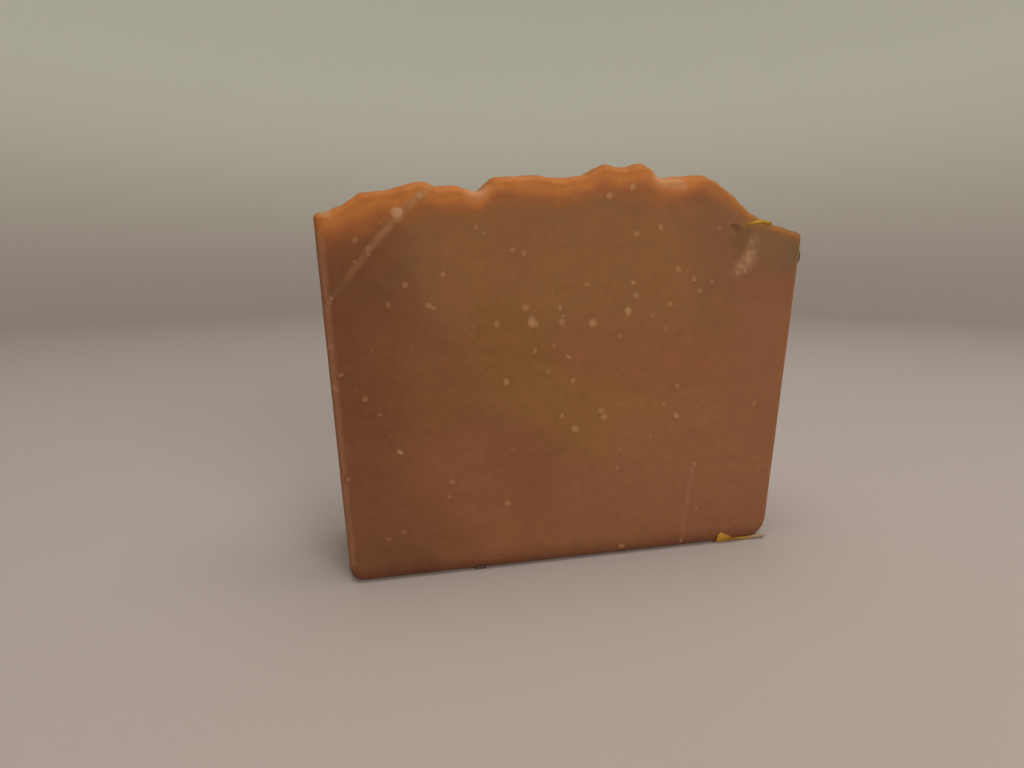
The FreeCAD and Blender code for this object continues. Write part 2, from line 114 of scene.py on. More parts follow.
# Small marks in the cut face, laid over the washes in the same form.
MARKS = (
    (-25.8, 68.8, -29.5, 65.8, 0.15, 0.6, (158, 112, 68), 0.75),
    (-29.5, 65.8, -34.5, 60.6, 0.15, 0.65, (146, 102, 66), 0.8),
    (-34.5, 60.6, -39.5, 54.4, 0.2, 0.65, (132, 92, 60), 0.75),
    (-39.5, 54.4, -42.2, 51.4, 0.2, 0.65, (120, 80, 54), 0.65),
    (-31.3, 64.6, -31.2, 64.7, 0.3, 0.9, (172, 130, 94), 0.85),
    (-27.9, 67.3, -27.5, 67.6, 0.2, 0.7, (170, 124, 84), 0.7),
    (-36.4, 58.6, -36.0, 59.0, 0.2, 0.8, (134, 96, 62), 0.5),
    (24.4, 17.9, 23.4, 10.4, 0.2, 0.5, (144, 96, 72), 0.5),
    (23.4, 10.4, 22.7, 1.8, 0.2, 0.5, (140, 92, 68), 0.45),
    (33.4, 60.8, 32.9, 58.2, 0.4, 1.5, (142, 103, 70), 0.6),
    (33.0, 57.4, 31.6, 56.2, 0.6, 1.6, (148, 108, 76), 0.65),
    (31.4, 56.0, 30.4, 54.9, 0.3, 1.4, (140, 102, 72), 0.5),
    # Painted shadow in the slit under the upper petal's end.
    (28.8, 63.3, 30.4, 62.8, 0.15, 0.5, (92, 58, 32), 0.85),
    (31.5, 63.8, 36.5, 64.6, 0.3, 0.8, (140, 102, 42), 0.6),
    # Painted highlights along the rounded right and left edges of the front, where the bevels face the light.
    (43.9, 57.0, 42.6, 8.0, 0.3, 0.9, (150, 96, 60), 0.55),
    (-44.0, 60.0, -42.3, 4.0, 0.5, 1.1, (158, 110, 82), 0.7),
)

# Pale places on the crust where it dips towards the cut face: painted highlights where the crust's faces turn up to
# the light. The last two dull the crust's orange towards the right end.
DIPS = (
    (-19.4, 68.9, -17.6, 68.6, 0.5, 1.5, (188, 136, 98), 0.7),
    (-42.4, 64.2, -41.8, 64.4, 0.3, 1.0, (176, 136, 100), 0.6),
    (13.9, 70.9, 17.6, 71.2, 0.4, 1.2, (190, 140, 98), 0.65),
    (35.0, 65.8, 44.0, 63.2, 1.6, 1.6, (124, 86, 42), 0.85),
    (25.0, 70.6, 34.0, 65.8, 1.2, 1.8, (150, 96, 48), 0.7),
)

# Where the front of the crust stands higher or lower by a little: x, reach and rise in millimetres.
LIFTS = ((-44.5, 3.2, 1.15), (-39.6, 1.8, -0.35), (-36.6, 2.0, 0.2), (44.8, 8.0, 0.75))

# Pale specks in the cut face: x, z, width in millimetres, and paleness from 0 to 1.
SPECKS = (
    (-10.0, 49.1, 2.2, 0.57), (-8.9, 46.6, 3.2, 0.75), (-8.2, 46.2, 1.9, 0.53), (2.4, 46.2, 2.3, 0.75),
    (9.1, 48.3, 2.3, 0.79), (9.2, 47.8, 1.6, 0.62), (-13.5, 36.1, 2.1, 0.66), (-32.5, 24.4, 2.1, 0.75),
    (-24.2, 54.9, 1.6, 0.49), (-30.5, 53.2, 1.9, 0.43), (-26.7, 49.8, 1.9, 0.49), (-25.9, 49.3, 1.6, 0.43),
    (14.7, 62.9, 2.0, 0.62), (9.0, 69.7, 2.0, 0.70), (4.8, 68.1, 1.9, 0.66), (10.1, 61.8, 1.8, 0.43),
    (-0.5, 26.6, 2.6, 0.53), (-0.1, 26.3, 1.6, 0.43), (5.1, 28.6, 2.2, 0.57), (4.5, 29.8, 2.0, 0.48),
    (19.9, 28.0, 2.2, 0.66), (19.7, 33.9, 1.5, 0.43), (17.0, 30.5, 1.5, 0.43), (36.6, 29.5, 1.6, 0.44),
    (-3.1, 29.3, 1.8, 0.49), (-1.1, 35.8, 1.9, 0.49), (-5.8, 37.6, 1.4, 0.38), (-2.1, 40.2, 1.9, 0.49),
    (-4.8, 42.3, 1.4, 0.38), (-8.3, 41.5, 1.5, 0.43), (17.3, 49.4, 2.1, 0.49), (21.8, 53.9, 1.9, 0.49),
    (18.5, 55.6, 2.1, 0.43), (23.1, 51.7, 1.9, 0.38), (25.5, 53.4, 1.6, 0.38), (9.8, 53.3, 1.8, 0.49),
    (10.5, 51.0, 1.8, 0.43), (1.1, 53.0, 1.6, 0.38), (-12.4, 58.9, 1.9, 0.38), (-10.4, 58.4, 1.8, 0.38),
    (-15.1, 46.4, 1.9, 0.43), (-3.8, 49.0, 1.8, 0.43), (-3.4, 46.5, 1.9, 0.43), (-3.2, 47.6, 1.4, 0.38),
    (-37.9, 34.2, 1.8, 0.43), (-35.6, 31.3, 1.5, 0.32), (-41.6, 38.5, 1.6, 0.43), (-42.7, 36.2, 1.6, 0.43),
    (-43.0, 43.1, 1.4, 0.38), (-41.5, 20.1, 2.0, 0.44), (-33.4, 49.9, 1.6, 0.32), (-38.1, 60.3, 1.9, 0.38),
    (-23.5, 18.1, 1.6, 0.38), (-24.1, 15.3, 1.4, 0.32), (-13.4, 13.1, 1.9, 0.43), (8.2, 18.3, 1.6, 0.38),
    (24.4, 17.9, 1.6, 0.44), (25.5, 8.5, 1.4, 0.32), (9.7, 1.9, 2.1, 0.43), (22.7, 1.6, 1.4, 0.32),
    (-35.2, 8.2, 1.4, 0.32), (-32.4, 9.3, 1.4, 0.32), (14.0, 47.3, 1.4, 0.32), (16.7, 44.8, 1.5, 0.32),
    (7.7, 43.6, 1.4, 0.27), (14.7, 24.1, 1.4, 0.27), (-17.1, 61.6, 1.5, 0.32), (-18.6, 62.6, 1.4, 0.32),
    (26.3, 63.0, 1.5, 0.32), (-42.8, 50.5, 1.6, 0.38), (33.1, 60.6, 1.4, 0.38), (32.7, 58.4, 1.6, 0.38),
)

# Crumbs of soap along the smeared ridge and below the upper petal: x, z, width and paleness.
CRUMBS = (
    (-27.8, 67.4, 1.6, 0.6), (-31.3, 64.6, 2.2, 0.7), (-30.3, 65.4, 1.0, 0.4), (-36.1, 58.9, 1.6, 0.3),
    (-38.3, 56.9, 1.0, 0.25), (-42.3, 51.2, 1.0, 0.3), (32.6, 57.2, 1.8, 0.45), (31.2, 56.1, 1.5, 0.4),
    (32.0, 55.3, 1.4, 0.35), (33.4, 58.6, 1.3, 0.3), (33.2, 60.2, 1.2, 0.25), (30.6, 54.9, 1.3, 0.3),
)

# How far the upper petal's outer end hangs down, and how far its faces swell, in millimetres.
UPPER_PETAL_DROOP = 0.45
UPPER_PETAL_SWELL = 0.1

# How deep the bright crust shows in the cut faces along the width: x and depth in millimetres. There the crust's own
# orange is lightened by a painted highlight of its rounded edge under the light above.
BAND = ((-44, 2.9), (-30, 2.7), (-22, 2.3), (0, 2.5), (12, 2.6), (20, 2.2), (26, 1.6), (31, 0.9), (37, 0.5), (45, 0.5))


class Value:
    """A node's output, on which Python's operators add Math nodes."""

    def __init__(self, graph, socket):
        self.graph = graph
        self.socket = socket

    def __add__(self, other):
        return self.graph.maths("ADD", self, other)

    def __sub__(self, other):
        return self.graph.maths("SUBTRACT", self, other)

    def __rsub__(self, other):
        return self.graph.maths("SUBTRACT", other, self)

    def __mul__(self, other):
        return self.graph.maths("MULTIPLY", self, other)

    def __truediv__(self, other):
        return self.graph.maths("DIVIDE", self, other)

    __radd__ = __add__
    __rmul__ = __mul__


class Graph:
    """A node tree that is filled by calls."""

    def __init__(self, tree):
        self.tree = tree

    def node(self, kind, settings=None, inputs=None, output=0):
        """Adds a node and returns an output: its settings first, then its sockets' values or links."""
        made = self.tree.nodes.new(kind)
        for name, value in (settings or {}).items():
            if name == "stops":
                self.set_stops(made.color_ramp, value)
            else:
                setattr(made, name, value)
        for key, value in (inputs or {}).items():
            if isinstance(value, Value):
                self.tree.links.new(value.socket, made.inputs[key])
            else:
                made.inputs[key].default_value = value
        return Value(self, made.outputs[output]) if made.outputs else made

    def set_stops(self, ramp, stops):
        while len(ramp.elements) < len(stops):
            ramp.elements.new(1.0)
        for element, (place, colour) in zip(ramp.elements, stops):
            element.position = place
            element.color = colour

    def maths(self, operation, first, second=0.0, third=0.0):
        return self.node("ShaderNodeMath", {"operation": operation}, {0: first, 1: second, 2: third})

    def vector(self, operation, first, second):
        return self.node("ShaderNodeVectorMath", {"operation": operation}, {0: first, 1: second})

    def mix(self, factor, first, second, blend="MIX"):
        """Mixes two colours."""
        return self.node(
            "ShaderNodeMix", {"data_type": "RGBA", "blend_type": blend}, {0: factor, 6: first, 7: second}, 2
        )

    def step(self, value, low, high):
        """0 below low, 1 above high, smooth between."""
        return self.node(
            "ShaderNodeMapRange",
            {"interpolation_type": "SMOOTHSTEP"},
            {"Value": value, "From Min": low, "From Max": high},
        )

    def named(self, attribute, output="Fac"):
        return self.node("ShaderNodeAttribute", {"attribute_name": attribute}, output=output)

    def millimetres(self, stretch=(1, 1, 1)):
        """Object coordinates in millimetres, drawn out by the stretch along each axis."""
        place = self.node("ShaderNodeTexCoord", output="Object")
        return self.vector("MULTIPLY", place, tuple(1 / (MM * part) for part in stretch))

    def cloud(self, size, detail=2.0, stretch=(1, 1, 1)):
        """Smooth noise from 0 to 1 with bumps of about the given size in millimetres."""
        return self.node(
            "ShaderNodeTexNoise", {}, {"Vector": self.millimetres(stretch), "Scale": 1 / size, "Detail": detail}
        )

    def bump(self, height):
        """A normal from a height in millimetres."""
        return self.node("ShaderNodeBump", {}, {"Strength": 1.0, "Distance": MM, "Height": height})


def finish(name, colour, roughness, normal=None, **fixed):
    """Makes a material by calling colour, roughness and normal with its graph."""
    material = bpy.data.materials.new(name)
    material.use_nodes = True
    graph = Graph(material.node_tree)
    surface = next(n for n in graph.tree.nodes if n.type == "BSDF_PRINCIPLED")
    for socket, value in fixed.items():
        surface.inputs[socket.replace("_", " ")].default_value = value
    for socket, make in (("Base Color", colour), ("Roughness", roughness), ("Normal", normal)):
        if make is not None:
            graph.tree.links.new(make(graph).socket, surface.inputs[socket])
    return material


def place(name, mesh):
    """A new object at the origin, with its place in its mesh."""
    made = bpy.data.objects.new(name, mesh)
    bpy.context.scene.collection.objects.link(made)
    return made


def evaluated_mesh(piece):
    graph = bpy.context.evaluated_depsgraph_get()
    return bpy.data.meshes.new_from_object(piece.evaluated_get(graph))


def joined_mesh(node):
    """A copy of a CAD node's mesh with its loose triangles joined up."""
    work = bmesh.new()
    work.from_mesh(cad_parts[node].data)
    bmesh.ops.remove_doubles(work, verts=work.verts, dist=1e-6)
    mesh = bpy.data.meshes.new(node + "_joined")
    work.to_mesh(mesh)
    work.free()
    return mesh


def even_copy(name, node, cell):
    """The CAD node's shape on an even mesh of the given cell, and a search tree of that shape."""
    piece = place(name, joined_mesh(node))
    tree = BVHTree.FromObject(piece, bpy.context.evaluated_depsgraph_get())
    remesh = piece.modifiers.new("even mesh", "REMESH")
    remesh.mode = "VOXEL"
    remesh.voxel_size = cell
    mesh = evaluated_mesh(piece)
    piece.modifiers.remove(remesh)
    piece.data = mesh
    for vertex in mesh.vertices:
        vertex.co = tree.find_nearest(vertex.co)[0]
    mesh.update()
    return piece, tree


def read(mesh, field):
    """A vector field of a mesh's vertices as rows."""
    rows = np.empty(len(mesh.vertices) * 3)
    mesh.vertices.foreach_get(field, rows)
    return rows.reshape(-1, 3)


def write_places(mesh, rows):
    mesh.vertices.foreach_set("co", (rows * MM).ravel())
    mesh.update()


def write_numbers(mesh, name, numbers):
    mesh.attributes.new(name, "FLOAT", "POINT").data.foreach_set("value", np.asarray(numbers, float))


def write_colours(mesh, name, colours):
    rows = np.concatenate([colours, np.ones((len(colours), 1))], axis=1)
    mesh.color_attributes.new(name, "FLOAT_COLOR", "POINT").data.foreach_set("color", rows.ravel())


def ripple(rows, size, seed, octaves=2):
    """Smooth noise at each row, about -1 to 1, with bumps of the given size in millimetres."""
    shift = Vector((seed * 17.3, seed * 5.1, seed * 9.7))
    return np.array([noise.fractal(Vector(row) / size + shift, 1.0, 2.0, octaves) for row in rows])


def off_stroke(rows, ends):
    """How far each row is, seen from the front, from the straight stroke between two ends."""
    start, end = np.array(ends[:2], float), np.array(ends[2:4], float)
    seen = rows[:, [0, 2]]
    along = np.clip((seen - start) @ (end - start) / max((end - start) @ (end - start), 1e-9), 0, 1)
    return np.linalg.norm(seen - start - along[:, None] * (end - start), axis=1)


def lay(colours, strokes, rows, where):
    """Lays strokes of colour over the colours, each as far as the mask allows."""
    for stroke in strokes:
        reach, rim, colour, strength = stroke[4:]
        cover = (1 - smooth(off_stroke(rows, stroke), reach, reach + rim)) * strength * where
        colours += (np.array(shade(*colour)[:3]) - colours) * cover[:, None]
    return colours


def length(name, description, default):
    return bpy.props.FloatProperty(
        name=name, description=description, default=default, min=0, precision=5, subtype="DISTANCE", unit="LENGTH"
    )


def colour(name, description, default):
    return bpy.props.FloatVectorProperty(
        name=name, description=description, default=shade(*default), size=4, min=0, max=1, subtype="COLOR"
    )


class BarLook(bpy.types.PropertyGroup):
    """The soap itself."""

    cell: length("Mesh cell", "Size of the even mesh of the bar", 0.0005)
    crust_ripple: length("Crust ripple", "Height of the fine ripples on the crust", 0.0002)
    body: colour("Body", "The brown of the cut faces", (127, 85, 50))
    body_red: colour("Reddish body", "The redder clouds in the soap", (124, 76, 49))
    body_ochre: colour("Ochre body", "The yellower clouds in the soap", (128, 88, 49))
    # The crust's own orange, lightened by a painted highlight where its rounded edge faces the light above.
    crust: colour("Crust", "The bright crust", (181, 111, 53))
    under_crust: colour("Under the crust", "The red-brown line under the crust", (150, 88, 44))
    # Painted shade: the lower edge of the front, a bevel that faces down, darkened as if in shadow.
    foot_shade: colour("Foot's edge", "The dark lower edge of the front", (92, 54, 38))
    moulded: colour("Moulded sides", "The sides that lay against the mould", (134, 86, 54))


class SpeckLook(bpy.types.PropertyGroup):
    """Pale specks and crumbs."""

    stand: bpy.props.FloatProperty(
        name="Stand", description="Height of a speck as a share of its width", default=0.09, min=0, max=1
    )
    crumb_stand: bpy.props.FloatProperty(
        name="Crumb stand", description="Height of a crumb as a share of its width", default=0.16, min=0, max=1
    )
    shake: length("Shake", "How far a speck's outline is shaken", 0.00006)
    crumb_shake: length("Crumb shake", "How far a crumb's outline is shaken", 0.00015)
    density: bpy.props.FloatProperty(
        name="Density", description="Faint specks on each square metre of the surface", default=12000, min=0
    )
    least: length("Least width", "Width of the smallest faint speck", 0.0005)
    greatest: length("Greatest width", "Width of the largest faint speck", 0.0011)
    seed: bpy.props.IntProperty(name="Seed", description="Another number gives another scatter", default=7)
    pale: colour("Pale speck", "The colour of the palest specks", (172, 130, 94))


class PlantLook(bpy.types.PropertyGroup):
    """Dried petals, leaf and stalk."""

    cell: length("Mesh cell", "Size of the even mesh of each dried piece", 0.00014)
    vein: length("Vein height", "How far the petals' veins stand up", 0.00007)
    yellow: colour("Petal yellow", "The bright yellow of the petals", (176, 132, 26))
    ochre: colour("Petal ochre", "The dull yellow of the petals", (134, 88, 28))
    straw: colour("Petal tip", "The pale dry tip of the lower petal", (166, 140, 108))
    # Painted shadow: the upper petal's end darkened where it goes into the shaded slit in the soap.
    slit_shadow: colour("Petal end", "The dark end of the upper petal", (92, 60, 34))
    leaf: colour("Leaf", "The dark olive leaf", (74, 66, 42))
    stalk: colour("Stalk", "The dark stalk", (62, 42, 30))


class StageLook(bpy.types.PropertyGroup):
    """Floor, backdrop and lamps."""

    floor: colour("Floor", "The pale floor", (181, 168, 163))
    wall: colour("Backdrop", "The rising rim of the floor", (228, 229, 217))
    above: bpy.props.FloatProperty(name="Light from above", description="Watts of the lamp above", default=3.0)
    front: bpy.props.FloatProperty(name="Light in front", description="Watts of the front lamp", default=2.95)
    sky: bpy.props.FloatProperty(name="Sky", description="Strength of the even light", default=0.29)


def bar_displacement(rows, crust):
    """How far each point of the bar moves out along its normal, in millimetres."""
    look = bpy.context.scene.soap_bar
    rise = look.crust_ripple / MM
    crust_move = rise * (ripple(rows, 4.2, 1) + 0.8 * ripple(rows, 1.7, 2))
    plain_move = 0.03 * ripple(rows, 7.0, 3)
    move = plain_move + (crust_move - plain_move) * crust
    front = smooth(-rows[:, 1], BACK_FACE - 1.4, BACK_FACE - 0.2)
    drag = off_stroke(rows, (24.4, 17.9, 22.8, 1.0))
    move -= 0.06 * np.exp(-((drag / 0.5) ** 2)) * front
    on_ridge = 1 - smooth(off_stroke(rows, (-25.6, 69.0, -42.3, 51.4)), 0.7, 1.3)
    return move + 0.1 * ripple(rows, 1.3, 4) * on_ridge * front


def crust_lift(rows, depth):
    """How far the crust rises at the front, in millimetres."""
    near_front = 1 - smooth(rows[:, 1], FRONT_FACE + 3.0, FRONT_FACE + 10.0)
    rise = sum(height * (1 - smooth(np.abs(rows[:, 0] - x), 0, reach)) for x, reach, height in LIFTS)
    return rise * near_front * (1 - smooth(depth, 0.0, 7.0))


def bar_tones(rows, depth):
    """The colour of each point of the bar, painted shade and highlights included."""
    look = bpy.context.scene.soap_bar
    body, red, ochre = (np.array(c[:3]) for c in (look.body, look.body_red, look.body_ochre))
    drawn_out = rows * np.array([0.55, 0.8, 1.0])
    cloud = ripple(drawn_out, 11.0, 5, 3)[:, None]
    tones = body + (red - body) * smooth(cloud, 0.0, 0.6) + (ochre - body) * smooth(-cloud, 0.0, 0.6)
    bent = rows + 1.3 * np.stack([ripple(rows, 6.0, seed) for seed in (6, 7, 8)], axis=1)
    near_front = 1 - smooth(rows[:, 1], FRONT_FACE + 2.0, FRONT_FACE + 14.0)
    tones = lay(tones, WASHES, bent, near_front)
    half = FOOT_HALF + np.minimum(rows[:, 2], SHOULDER) * SIDE_LEAN
    side = smooth(np.abs(rows[:, 0]) - half, -0.9, -0.15) * (1 - smooth(np.abs(rows[:, 1]), 10.4, 11.9))
    tones += (np.array(look.moulded[:3]) - tones) * (0.8 * side)[:, None]
    band = np.interp(rows[:, 0], *zip(*BAND)) * (1 + 0.3 * ripple(rows, 5.0, 9))
    under = 1 - smooth(depth / band, 1.1, 2.3)
    # Where the crust's orange is laid: partly its own colour, partly a painted highlight of the rounded top edge.
    bright = (1 - smooth(depth / band, 0.45, 1.35)) * (0.9 + 0.25 * ripple(rows, 2.4, 14))
    tones += (np.array(look.under_crust[:3]) - tones) * (0.75 * under)[:, None]
    tones += (np.array(look.crust[:3]) - tones) * (0.92 * bright)[:, None]
    at_rim = 1 - smooth(rows[:, 1] + 0.8 * ripple(rows, 3.0, 15), FRONT_FACE + 1.5, FRONT_FACE + 5.5)
    # Painted highlights in the crust's dips, and duller crust towards the right end.
    tones = lay(tones, DIPS, bent, at_rim)
    # Painted shade along the lower edge of the front, where the bevel faces down away from the light.
    foot_shade = (1 - smooth(rows[:, 2], 0.6, 4.5)) * (1 - smooth(rows[:, 1], FRONT_FACE, FRONT_FACE + 3.0))
    tones += (np.array(look.foot_shade[:3]) - tones) * (0.75 * foot_shade)[:, None]
    return lay(tones, MARKS, rows, 1 - smooth(rows[:, 1], FRONT_FACE + 1.0, FRONT_FACE + 3.0))


def soap_colour(graph):
    """The painted tones with fine clouds and small flush specks."""
    tone = graph.named("tone", "Color")
    grain = graph.cloud(1.4, 4.0)
    streak = graph.cloud(3.2, 3.0, (4, 2, 1))
    level = 0.8 + 0.26 * grain + 0.14 * streak
    shaded = graph.mix(1.0, tone, graph.node("ShaderNodeCombineColor", {}, {0: level, 1: level, 2: level}), "MULTIPLY")
    cells = {"Vector": graph.millimetres(), "Scale": 1 / 2.1, "Randomness": 1.0}
    near = graph.node("ShaderNodeTexVoronoi", {}, cells, "Distance")
    pick = graph.node("ShaderNodeTexVoronoi", {}, cells, "Color")
    chosen = graph.step(graph.node("ShaderNodeSeparateColor", {}, {0: pick}, 0), 0.66, 0.74)
    dot = (1 - graph.step(near, 0.03, 0.17)) * chosen * 0.16
    return graph.mix(dot, shaded, bpy.context.scene.soap_specks.pale[:])


def soap_roughness(graph):
    return 0.52 + 0.16 * graph.cloud(2.5, 3.0) + 0.06 * graph.named("crust")


def soap_relief(graph):
    """Fine grain, faint cutting streaks on the cut faces, and small pits on the crust."""
    crust = graph.named("crust")
    grain = 0.012 * graph.cloud(0.35, 3.0)
    streaks = 0.03 * graph.cloud(1.6, 2.0, (14, 3, 1)) * (1 - crust)
    pits = 0.1 * graph.cloud(0.8, 3.0) * crust
    return graph.bump(grain + streaks + pits)


def depth_under_crust(rows, tree):
    """How far each point lies below the crust over it, in millimetres."""
    depth = np.zeros(len(rows))
    for index, (x, y, z) in enumerate(rows):
        inside = (np.clip(x, 0.3 - TOP_HALF, TOP_HALF - 0.3), np.clip(y, FRONT_FACE + 0.3, BACK_FACE - 0.3), 90)
        depth[index] = tree.ray_cast(Vector(inside) * MM, DOWN)[0].z / MM - z
    return depth


class SOAP_OT_bar(bpy.types.Operator):
    """Makes the soap itself"""

    bl_idname = "soap.bar"
    bl_label = "Soap bar"

    def execute(self, context):
        look = context.scene.soap_bar
        piece, tree = even_copy("soap", "soap_bar", look.cell)
        mesh = piece.data
        rows, normals = read(mesh, "co") / MM, read(mesh, "normal")
        depth = depth_under_crust(rows, tree)
        crust = 1 - smooth(depth, 0.25, 1.1)
        tones = bar_tones(rows, depth)
        lift = crust_lift(rows, depth)
        rows += normals * bar_displacement(rows, crust)[:, None]
        rows[:, 2] = np.maximum(rows[:, 2] + lift, 0)
        write_places(mesh, rows)
        write_numbers(mesh, "crust", crust)
        write_colours(mesh, "tone", tones)
        mesh.materials.clear()
        mesh.materials.append(
            finish(
                "soap", soap_colour, soap_roughness, soap_relief,
                IOR=1.46, Specular_IOR_Level=0.14,
                Subsurface_Weight=0.18, Subsurface_Radius=(1.0, 0.45, 0.2), Subsurface_Scale=0.0012,
            )
        )
        mesh.shade_smooth()
        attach(piece, BODY)
        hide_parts("soap_bar")
        return {"FINISHED"}


def lump_tree(name, scattered):
    """A tree that sinks small lumps into a surface, at given points or scattered, each with its shade."""
    tree = bpy.data.node_groups.new(name, "GeometryNodeTree")
    add = tree.interface.new_socket
    add("Geometry", in_out="INPUT", socket_type="NodeSocketGeometry")
    for label in ("Stand", "Sink", "Shake", "Density", "Least width", "Greatest width"):
        add(label, in_out="INPUT", socket_type="NodeSocketFloat")
    add("Seed", in_out="INPUT", socket_type="NodeSocketInt")
    add("Material", in_out="INPUT", socket_type="NodeSocketMaterial")
    add("Geometry", in_out="OUTPUT", socket_type="NodeSocketGeometry")
    graph = Graph(tree)
    given = tree.nodes.new("NodeGroupInput")

    def value(label):
        return Value(graph, given.outputs[label])

    def chance(low, high, shift):
        return graph.node(
            "FunctionNodeRandomValue", {"data_type": "FLOAT"}, {2: low, 3: high, "Seed": value("Seed") + shift}, 1
        )

    def stored(name, kind):
        return graph.node("GeometryNodeInputNamedAttribute", {"data_type": kind}, {"Name": name})

    def store(geometry, name, domain, number):
        return graph.node(
            "GeometryNodeStoreNamedAttribute", {"data_type": "FLOAT", "domain": domain},
            {"Geometry": geometry, "Name": name, "Value": number},
        )

    def height():
        place_in_lump = graph.node("GeometryNodeInputPosition")
        return graph.node("ShaderNodeSeparateXYZ", {}, {0: place_in_lump}, "Z")

    if scattered:
        upward = graph.node("ShaderNodeSeparateXYZ", {}, {0: graph.node("GeometryNodeInputNormal")}, "Z")
        points = graph.node(
            "GeometryNodeDistributePointsOnFaces", {},
            {
                "Mesh": value("Geometry"), "Density": value("Density"), "Seed": value("Seed"),
                "Selection": graph.maths("GREATER_THAN", upward, -0.5),
            },
        )
        facing = Value(graph, points.socket.node.outputs["Normal"])
        width = chance(value("Least width"), value("Greatest width"), 1)
        pale = chance(0.08, 0.3, 2)
    else:
        points = value("Geometry")
        facing = stored("facing", "FLOAT_VECTOR")
        width = stored("width", "FLOAT")
        pale = stored("pale", "FLOAT")
    turned = graph.node("FunctionNodeAlignRotationToVector", {"axis": "Z"}, {"Vector": facing})
    spin = graph.node("FunctionNodeAxisAngleToRotation", {}, {"Axis": (0, 0, 1), "Angle": chance(0.0, 6.28, 3)})
    spun = graph.node("FunctionNodeRotateRotation", {"rotation_space": "LOCAL"}, {0: turned, 1: spin})
    half = width * 0.5
    size = graph.node(
        "ShaderNodeCombineXYZ", {}, {0: half, 1: half * chance(0.55, 1.0, 4), 2: half * value("Stand")}
    )
    ball = graph.node("GeometryNodeMeshIcoSphere", {}, {"Radius": 1.0, "Subdivisions": 2 if scattered else 3})
    rimmed = store(ball, "rim", "POINT", (height() - value("Sink")) / (1 - value("Sink")))
    lowered = graph.node("ShaderNodeCombineXYZ", {}, {2: 0 - value("Sink")})
    sunk = graph.node("GeometryNodeSetPosition", {}, {"Geometry": rimmed, "Offset": lowered})
    spots = graph.node(
        "GeometryNodeInstanceOnPoints", {}, {"Points": points, "Instance": sunk, "Rotation": spun, "Scale": size}
    )
    real = graph.node("GeometryNodeRealizeInstances", {}, {"Geometry": store(spots, "pale_shade", "INSTANCE", pale)})
    push = graph.vector(
        "SUBTRACT", graph.node("ShaderNodeTexNoise", {}, {"Scale": 1200.0, "Detail": 1.0}, "Color"), (0.5, 0.5, 0.5)
    )
    shaken = graph.node(
        "GeometryNodeSetPosition", {},
        {"Geometry": real, "Offset": graph.vector("MULTIPLY", push, graph.node(
            "ShaderNodeCombineXYZ", {}, {0: value("Shake"), 1: value("Shake"), 2: value("Shake")}
        ))},
    )
    smoothed = graph.node("GeometryNodeSetShadeSmooth", {}, {"Geometry": shaken})
    dressed = graph.node("GeometryNodeSetMaterial", {}, {"Geometry": smoothed, "Material": value("Material")})
    out = tree.nodes.new("NodeGroupOutput")
    tree.links.new(dressed.socket, out.inputs["Geometry"])
    return tree


def grown(name, base, tree, **inputs):
    """The mesh that a tree makes of a base mesh, as a plain piece."""
    piece = place(name, base)
    modifier = piece.modifiers.new(name, "NODES")
    modifier.node_group = tree
    for item in tree.interface.items_tree:
        label = item.name.replace(" ", "_").lower()
        if item.in_out == "INPUT" and label in inputs:
            modifier[item.identifier] = inputs[label]
    mesh = evaluated_mesh(piece)
    piece.modifiers.remove(modifier)
    piece.data = mesh
    return piece


def points_on_front(name, places):
    """A mesh of loose points on the front of the soap, with what each lump there needs to know."""
    soap = bpy.data.objects["soap"]
    tree = BVHTree.FromObject(soap, bpy.context.evaluated_depsgraph_get())
    corners = read(soap.data, "co")
    tones = np.empty(len(corners) * 4)
    soap.data.color_attributes["tone"].data.foreach_get("color", tones)
    hits = [tree.ray_cast(Vector((x * MM, -0.03, z * MM)), Vector((0, 1, 0)))[:2] for x, z, *_ in places]
    nearest = [int(np.argmin(np.linalg.norm(corners - np.array(spot), axis=1))) for spot, _ in hits]
    mesh = bpy.data.meshes.new(name)
    mesh.from_pydata([spot for spot, _ in hits], [], [])
    write_numbers(mesh, "width", [row[2] * MM for row in places])
    write_numbers(mesh, "pale", [row[3] for row in places])
    write_colours(mesh, "tone", tones.reshape(-1, 4)[nearest, :3])
    facing = mesh.attributes.new("facing", "FLOAT_VECTOR", "POINT")
    facing.data.foreach_set("vector", np.array([normal for _, normal in hits]).ravel())
    return mesh


def speck_colour(graph):
    """The soap's own colour at the rim of a speck, paler towards its middle."""
    cover = graph.step(graph.named("rim") + 0.3 * graph.cloud(0.5) - 0.15, 0.0, 1.25)
    pale = bpy.context.scene.soap_specks.pale[:]
    return graph.mix(cover * graph.named("pale_shade"), soap_colour(graph), pale)


class SOAP_OT_specks(bpy.types.Operator):
    """Puts the pale specks and crumbs on the soap"""

    bl_idname = "soap.specks"
    bl_label = "Specks and crumbs"

    def execute(self, context):
        look = context.scene.soap_specks
        material = finish("speck", speck_colour, soap_roughness, soap_relief, IOR=1.46, Specular_IOR_Level=0.14)
        placed = lump_tree("placed lumps", False)
        made = [
            grown(
                "placed_specks", points_on_front("speck_places", SPECKS), placed,
                stand=look.stand, sink=0.6, shake=look.shake, seed=look.seed, material=material,
            ),
            grown(
                "crumbs", points_on_front("crumb_places", CRUMBS), placed,
                stand=look.crumb_stand, sink=0.35, shake=look.crumb_shake, seed=look.seed + 10, material=material,
            ),
            grown(
                "faint_specks", bpy.data.objects["soap"].data.copy(), lump_tree("scattered lumps", True),
                stand=look.stand, sink=0.6, shake=look.shake, density=look.density, least_width=look.least,
                greatest_width=look.greatest, seed=look.seed, material=material,
            ),
        ]
        for piece in made:
            if not piece.data.polygons:
                raise RuntimeError(piece.name + " came out empty")
            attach(piece, BODY)
        return {"FINISHED"}


def plant_roughness(graph):
    return 0.62 + 0.2 * graph.cloud(0.5, 2.0)


